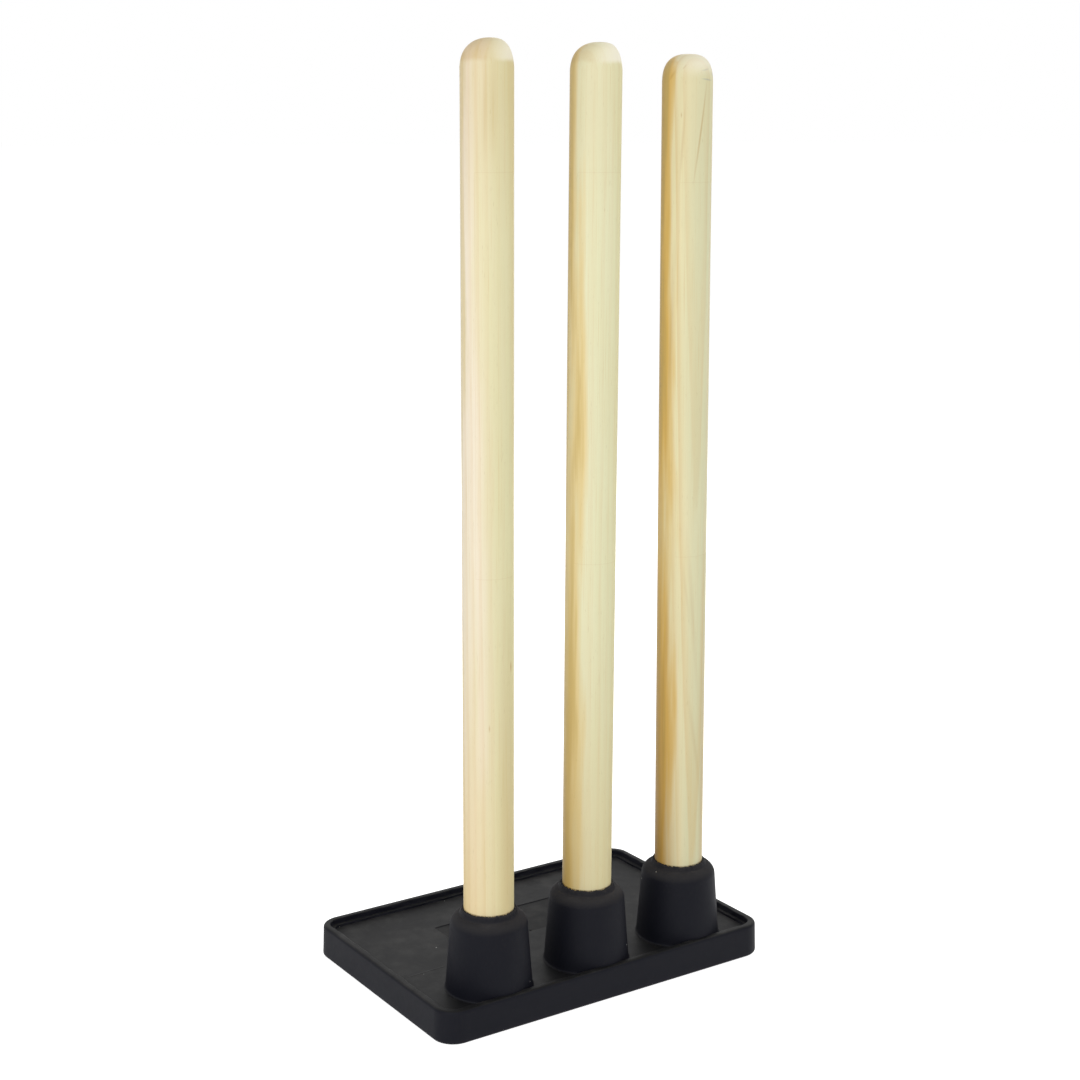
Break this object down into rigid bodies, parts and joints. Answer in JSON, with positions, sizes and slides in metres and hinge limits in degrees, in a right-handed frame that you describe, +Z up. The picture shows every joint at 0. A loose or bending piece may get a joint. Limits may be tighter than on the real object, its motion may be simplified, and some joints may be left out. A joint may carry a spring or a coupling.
{
  "type": "cricket stumps",
  "caption": "Round-topped timber stumps standing in a row in the tapered cups of one heavy moulded rubber base plate.",
  "frame": {"origin": "centre of the underside of the base, on the ground", "axes": "+Z up along the stumps, X along the row of stumps and the long side of the base, +Y to the open deck behind the stumps"},
  "size_m": [0.3008, 0.2036, 0.7117],
  "materials": {
    "rubber": "compression-moulded black rubber, satin, slightly dusty on its flat deck",
    "timber": "turned pale hardwood with fine lengthwise grain under a clear satin lacquer"
  },
  "bodies": {
    "base": {"rubber_base": "rubber"},
    "left": {"left_stump": "timber"},
    "middle": {"middle_stump": "timber"},
    "right": {"right_stump": "timber"}
  },
  "joints": [
    {"name": "left_stump_pull", "type": "slide", "parent": "base", "child": "left", "axis": [0.0017, 0, 1], "range_m": [0, 0.072]},
    {"name": "middle_stump_pull", "type": "slide", "parent": "base", "child": "middle", "axis": [0.0044, 0, 1], "range_m": [0, 0.072]},
    {"name": "right_stump_pull", "type": "slide", "parent": "base", "child": "right", "axis": [-0.0084, 0, 1], "range_m": [0, 0.072]}
  ]
}
